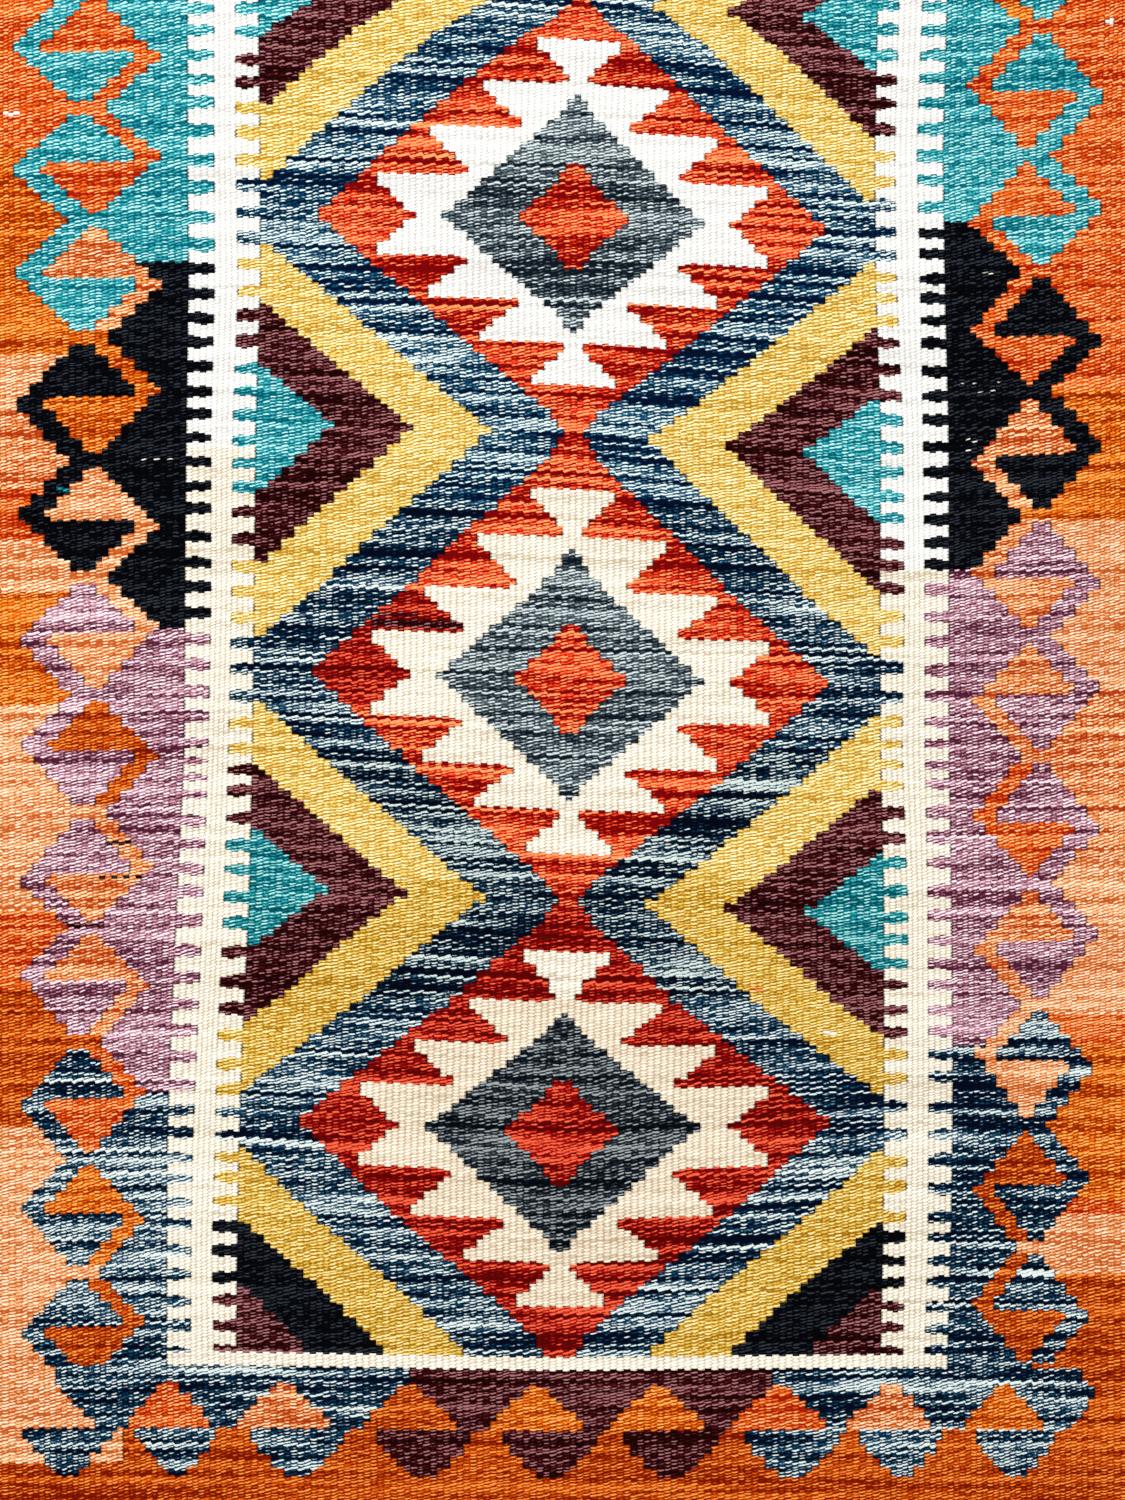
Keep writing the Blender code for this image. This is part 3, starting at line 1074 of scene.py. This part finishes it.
def stepped_ramp(place, colours):
    node = tree_of(place).nodes.new("ShaderNodeValToRGB")
    node.color_ramp.interpolation = "CONSTANT"
    while len(node.color_ramp.elements) < len(colours):
        node.color_ramp.elements.new(1.0)
    for number, colour in enumerate(colours):
        node.color_ramp.elements[number].position = number / len(colours)
        node.color_ramp.elements[number].color = colour
    feed(place, node.inputs[0])
    return node.outputs["Color"]


def as_light(colour):
    """A colour as it looks on a screen, turned into the amounts of light that nodes work with."""
    return (*Color(colour).from_srgb_to_scene_linear(), 1.0)


for column, title in enumerate(("Deep", "Main", "Pale"), start=1):
    feed(stepped_ramp(shelf_place, [as_light(row[column]) for row in YARNS]), result[title])
for column, title in enumerate(("Streak", "Beading"), start=4):
    feed(stepped_ramp(shelf_place, [(*[row[column]] * 3, 1.0) for row in YARNS]), result[title])
print("yarn shelf:", len(YARNS), "steps in each ramp")

# %% [markdown]
# ## Abrash
#
# The tone of the dye drifts slowly up the rug, shifts every few passes, and changes from
# one pass to the next, in short streaks and in long ones. Each part is a noise that is
# stretched along the weft. Where the long streaks are darkest, the wool goes darker still.

# %% Group: dye tone
dye_tone, given, result = new_group(
    "dye tone", {"Place": "vector", "Pick": "number"}, {"Tone": "number"}
)
place_u, _, _ = parts_of(given["Place"])
pass_pair = calc("FLOOR", times(given["Pick"], 1 / PICKS_A_BEAD))


def streaks(length, tall, depth):
    """Noise stretched along the weft, with its length in warps and its height in pairs of picks."""
    along_weft = calc("DIVIDE", place_u, length)
    up_rug = calc("DIVIDE", pass_pair, tall)
    return noise(vector_of(along_weft, up_rug, depth))


# below this the long streaks are dark, and how much darker the dye then goes
DARK_BELOW, DARK_WEIGHT = 0.44, 5.5
long_streaks = streaks(75.0, 0.11, 13.7)
tone = 0.0
for value, weight in (
    (streaks(44.0, 8.0, 1.7), 0.9),
    (streaks(40.0, 2.0, 5.1), 1.7),
    (streaks(16.0, 0.13, 9.3), 2.4),
    (long_streaks, 3.0),
):
    tone = plus(times(minus(value, 0.5), weight), tone)
dark_pass = calc("MAXIMUM", minus(DARK_BELOW, long_streaks), 0.0)
feed(minus(tone, times(dark_pass, DARK_WEIGHT)), result["Tone"])
print("dye tone:", len(dye_tone.nodes), "nodes")

# %% [markdown]
# ## The relief of the wool
#
# Each bead is round across the warp and round from pick to pick, and the wool is fuzzy.
# The group gives a height in metres for the bump, and painted light and shade for the
# colour: a painted highlight on one spot of each bead, brighter on some beads than on
# others, and painted shade in the gaps between the beads and towards the valleys between
# the ribs. Pale wool hides its beads, so there the painted shade follows the ribs instead.

# %% Group: wool relief
wool_relief, given, result = new_group(
    "wool relief",
    {
        "Place": "vector", "Warp": "number", "Bead": "number",
        "Across": "number", "Along": "number", "Beading": "number",
    },
    {"Height": "number", "Painted Light and Shade": "number"},
)
# in metres: how far a bead swells, and how far its fibres stand out
BEAD_SWELL, FUZZ = 0.00028, 0.00015
# how quickly the fibres change from warp to warp and from pick to pick
FIBRE_ACROSS, FIBRE_UP = 2.4, 0.9


def round_profile(share):
    """1 in the middle of a bead and 0 at its two ends."""
    doubled = minus(times(share, 2.0), 1.0)
    return calc("SQRT", calc("MAXIMUM", minus(1.0, times(doubled, doubled)), 0.0))


rib_round = round_profile(given["Across"])
bead_round = round_profile(given["Along"])
place_u, place_v, _ = parts_of(given["Place"])
fibre = noise(vector_of(times(place_u, FIBRE_ACROSS), times(place_v, FIBRE_UP)))
bead_dip = times(minus(1.0, bead_round), given["Beading"])
swell = times(calc("SQRT", rib_round), minus(1.0, bead_dip))
feed(plus(times(swell, BEAD_SWELL), times(fibre, FUZZ)), result["Height"])
print(f"beads up to {1000 * BEAD_SWELL:.2f} mm high, fibres up to {1000 * FUZZ:.2f} mm")

# %% Painted highlight and shade of the wool
# the painted highlight: where along the bead its middle lies, half its length, and its least and most light
SPOT_MIDDLE, SPOT_HALF, SPOT_LIGHT = (0.35, 0.65), 0.3, (0.3, 1.5)
# how much of that light is left at the sides of the bead and on its ridge
RIDGE_LIGHT = (0.4, 1.05)
# how much the ridge (painted shade towards the valleys) and the fibres add, and how much painted shade the
# ridge adds on pale wool
RIDGE_WEIGHT, FIBRE_WEIGHT, PALE_RIDGE_WEIGHT = 0.15, 1.3, 0.6
# the middle values of the ridge and of the whole painted glow; below its middle the glow is painted shade
RIDGE_MIDDLE, GLOW_MIDDLE = 0.67, 0.30
chance = wool_relief.nodes.new("ShaderNodeTexWhiteNoise")
chance.noise_dimensions = "2D"
feed(vector_of(given["Warp"], given["Bead"]), chance.inputs["Vector"])
brightness, shift, _ = parts_of(chance.outputs["Color"])
off_centre = minus(given["Along"], between(shift, 0.0, 1.0, *SPOT_MIDDLE))
off_centre = calc("DIVIDE", off_centre, SPOT_HALF)
# painted highlight: a bright spot on each bead, stronger on some beads than on others
painted_glow = calc("MAXIMUM", minus(1.0, times(off_centre, off_centre)), 0.0)
painted_glow = times(painted_glow, between(brightness, 0.0, 1.0, *SPOT_LIGHT))
across_ridge = times(rib_round, rib_round)
from_ridge_middle = minus(across_ridge, RIDGE_MIDDLE)
# less painted light at the sides of a bead, and painted shade towards the valleys between the ribs
painted_glow = times(painted_glow, between(across_ridge, 0.0, 1.0, *RIDGE_LIGHT))
painted_glow = plus(painted_glow, times(from_ridge_middle, RIDGE_WEIGHT))
painted_glow = plus(painted_glow, times(minus(fibre, 0.5), FIBRE_WEIGHT))
# below its middle the painted light turns to painted shade, in the gaps between the beads
painted_glow = times(minus(painted_glow, GLOW_MIDDLE), given["Beading"])
# painted shade in the valleys between the ribs, where the beads of pale wool are hidden
painted_rib_shade = times(times(from_ridge_middle, PALE_RIDGE_WEIGHT), minus(1.0, given["Beading"]))
feed(plus(painted_glow, painted_rib_shade), result["Painted Light and Shade"])
print("wool relief:", len(wool_relief.nodes), "nodes")

# %% [markdown]
# ## Slits
#
# Light that falls into a slit hardly comes back, so a slit is a dark line. The group says
# how open it is at a point: most at the side of the warp, and less towards its two ends.

# %% Group: slit
slit_group, given, result = new_group(
    "slit", {"Picks": "vector", "Place": "vector", "Across": "number"}, {"Open": "number"}
)
# over how many picks a slit opens, and how far from the side of the warp, in warps, it is still
# fully open and from where on it is shut
SLIT_TAPER, SLIT_OPEN, SLIT_SHUT = 1.2, 0.10, 0.30
slit_from, slit_to, _ = parts_of(given["Picks"])
_, place_v, _ = parts_of(given["Place"])
above = between(minus(place_v, slit_from), 0.0, SLIT_TAPER)
below = between(minus(slit_to, place_v), 0.0, SLIT_TAPER)
to_side = calc("MINIMUM", given["Across"], minus(1.0, given["Across"]))
at_side = between(to_side, SLIT_OPEN, SLIT_SHUT, 1.0, 0.0)
feed(times(times(above, below), at_side), result["Open"])
print("node groups:", sorted(group.name for group in bpy.data.node_groups))

# %% [markdown]
# ## The wool
#
# The material puts the groups together. The yarn is found from the straight weave, so that
# the edges of the pattern stay crisp, and the look of its beads from the uneven one. The
# tone of the dye and the painted light and shade of the beads add up to one strength, which
# moves the colour from the main tone towards the pale or the deep one. Wool is matt, with a
# faint sheen.

# %% Material: kilim wool
wool = bpy.data.materials.new("kilim_wool")
wool.use_nodes = True
tree = wool.node_tree
shader = tree.nodes["Principled BSDF"]
weave_place = tree.nodes.new("ShaderNodeUVMap")
weave_place.uv_map = "weave"
place = weave_place.outputs["UV"]


def face_value(name):
    node = tree.nodes.new("ShaderNodeAttribute")
    node.attribute_name = name
    return node.outputs["Vector"]


straight = place_group(tree, weave_cell, Place=place, Slant=0.0, Interlock=0.0, Wander=0.0)
# slant and wander in picks, and interlock in warps
cell = place_group(tree, weave_cell, Place=place, Slant=-0.8, Interlock=0.14, Wander=2.4)
packed = face_value("bead yarns")
yarn = place_group(tree, bead_yarn, Packed=packed, Place=place, Bead=straight["Bead"])["Yarn"]
shelf = place_group(tree, yarn_shelf, Yarn=yarn)
tone = place_group(tree, dye_tone, Place=place, Pick=cell["Pick"])["Tone"]
relief = place_group(
    tree, wool_relief, Place=place, Warp=cell["Warp"], Bead=cell["Bead"],
    Across=cell["Across"], Along=cell["Along"], Beading=shelf["Beading"],
)
picks = face_value("slit picks")
slit_open = place_group(tree, slit_group, Picks=picks, Place=place, Across=cell["Across"])["Open"]
print("groups placed:", sum(node.type == "GROUP" for node in tree.nodes))

# %% Colour and finish of the wool
# how much the painted highlight and shade of the beads count, how far the middle lies towards
# the deep tone, how slowly the pale tone sets in, and how much light comes back from an open slit
PAINTED_LIGHT_SHARE, TOWARDS_DEEP, PALE_CURVE, SLIT_LIGHT = 2.0, 0.30, 1.5, 0.28
strength = plus(times(tone, shelf["Streak"]), times(relief["Painted Light and Shade"], PAINTED_LIGHT_SHARE))
strength = minus(strength, TOWARDS_DEEP)
to_pale = calc("POWER", limit(strength, 0.0, 1.0), PALE_CURVE)
to_deep = limit(times(strength, -1.0), 0.0, 1.0)
# towards the pale tone for pale streaks and painted highlights, towards the deep one for dark streaks and
# painted shade
dyed = blend_colours(to_pale, shelf["Main"], shelf["Pale"])
dyed = blend_colours(to_deep, dyed, shelf["Deep"])
shade = between(slit_open, 0.0, 1.0, 1.0, SLIT_LIGHT)
shaded = blend_colours(1.0, dyed, vector_of(shade, shade, shade), "MULTIPLY")
feed(shaded, shader.inputs["Base Color"])

bump = tree.nodes.new("ShaderNodeBump")
bump.inputs["Distance"].default_value = 1.0
bump.inputs["Strength"].default_value = 1.0
feed(relief["Height"], bump.inputs["Height"])
feed(bump.outputs["Normal"], shader.inputs["Normal"])
for title, value in (
    ("Roughness", 0.9), ("Metallic", 0.0), ("Specular IOR Level", 0.04),
    ("Sheen Weight", 0.01), ("Sheen Roughness", 0.5),
):
    shader.inputs[title].default_value = value
cloth_mesh.materials.append(wool)
print("material made with", len(tree.nodes), "nodes")

# %% [markdown]
# ## The floor
#
# The rug lies on a plain, pale floor. The floor is part of the stage, not of the rug.

# %% Lay the floor
bpy.ops.mesh.primitive_plane_add(size=4.0, location=(0, 0, 0))
floor = bpy.context.object
floor.name = "floor"
floor_paint = bpy.data.materials.new("pale_floor")
floor_paint.use_nodes = True
paint = floor_paint.node_tree.nodes["Principled BSDF"]
paint.inputs["Base Color"].default_value = as_light((0.86, 0.85, 0.83))
paint.inputs["Roughness"].default_value = 0.8
floor.data.materials.append(floor_paint)
print("floor of", floor.dimensions.x, "m")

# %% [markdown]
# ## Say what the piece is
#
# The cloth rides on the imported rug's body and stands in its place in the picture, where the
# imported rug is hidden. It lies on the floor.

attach(cloth, "root")
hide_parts("kilim_rug")
print(cloth.name, "declared")

# %% [markdown]
# ## Light and camera
#
# The rug was photographed from straight above in even light. One large soft lamp stands to
# the far left, so that the ribs cast a trace of shade. A weaker one fills in from the near
# right, and the rest is a pale sky. The camera takes in all but the rug's two ends.

# %% Lamps and sky
SKY_STRENGTH = 0.55


def soft_lamp(name, size, power, place):
    """A round lamp aimed at the middle of the rug, with its size in metres and power in watts."""
    data = bpy.data.lights.new(name, "AREA")
    data.shape = "DISK"
    data.size = size
    data.energy = power
    lamp = bpy.data.objects.new(name, data)
    bpy.context.scene.collection.objects.link(lamp)
    lamp.location = place
    lamp.rotation_euler = (-lamp.location).to_track_quat("-Z", "Y").to_euler()


soft_lamp("key", 1.2, 51, (-1.2, 1.3, 2.0))
soft_lamp("fill", 2.0, 20, (1.6, -0.8, 2.2))
sky = bpy.data.worlds.new("sky")
bpy.context.scene.world = sky
sky.use_nodes = True
background = sky.node_tree.nodes["Background"]
background.inputs["Color"].default_value = (1.0, 1.0, 1.0, 1.0)
background.inputs["Strength"].default_value = SKY_STRENGTH
bpy.context.scene.view_settings.view_transform = "Standard"
print("lamps:", [lamp.name for lamp in bpy.data.lights])

# %% Camera
# in metres: how high the camera is, how much of the rug's length it sees, and the middle of that
CAMERA_HEIGHT = 1.5
VIEW_LENGTH = 0.780
VIEW_MIDDLE = (0.0013, -0.0416)
camera_data = bpy.data.cameras.new("camera")
camera_data.lens = camera_data.sensor_width * CAMERA_HEIGHT / VIEW_LENGTH
camera = bpy.data.objects.new("camera", camera_data)
bpy.context.scene.collection.objects.link(camera)
camera.location = (*VIEW_MIDDLE, CAMERA_HEIGHT + THICKNESS / 1000)
bpy.context.scene.camera = camera
print(f"lens {camera_data.lens:.1f} mm")

# %% [markdown]
# ## Finish
#
# Last, the view layer is brought up to date.

# %% Finish
bpy.context.view_layer.update()
